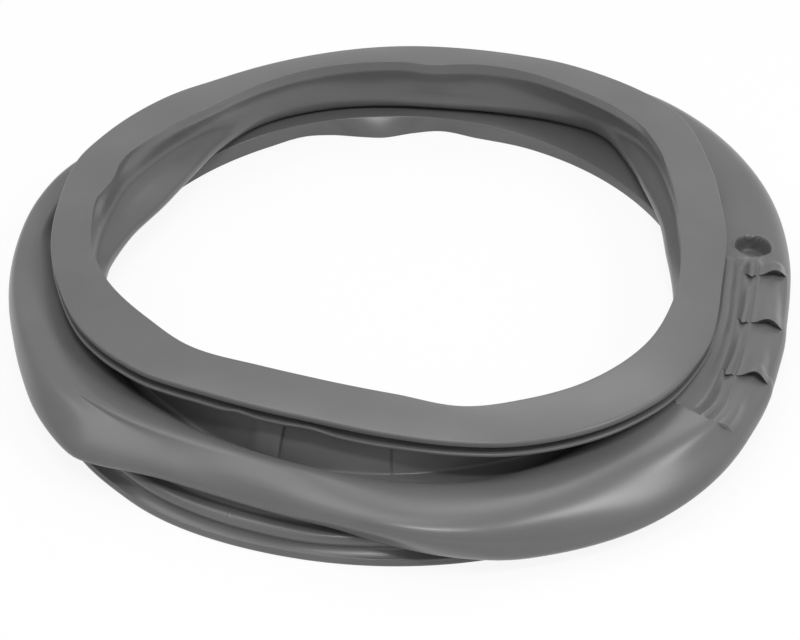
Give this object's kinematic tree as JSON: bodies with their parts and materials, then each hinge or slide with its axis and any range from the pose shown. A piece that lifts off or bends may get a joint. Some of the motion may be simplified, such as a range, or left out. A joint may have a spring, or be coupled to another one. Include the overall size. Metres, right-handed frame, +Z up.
{
  "type": "washing machine door seal",
  "caption": "Moulded rubber bellows ring that seals the door opening of a front-loading washing machine to its tub.",
  "frame": {"origin": "on the floor, at the centre of the tub rim that the ring lies on", "axes": "+Z up, from the tub rim to the front flange; +X to the side with the moulded steps and pocket; -Y to the side nearest the viewer, where the fold droops"},
  "size_m": [0.3931, 0.4053, 0.048],
  "materials": {
    "rubber": "satin-matt moulded grey rubber"
  },
  "bodies": {
    "root": {"door_seal": "rubber"}
  },
  "joints": []
}
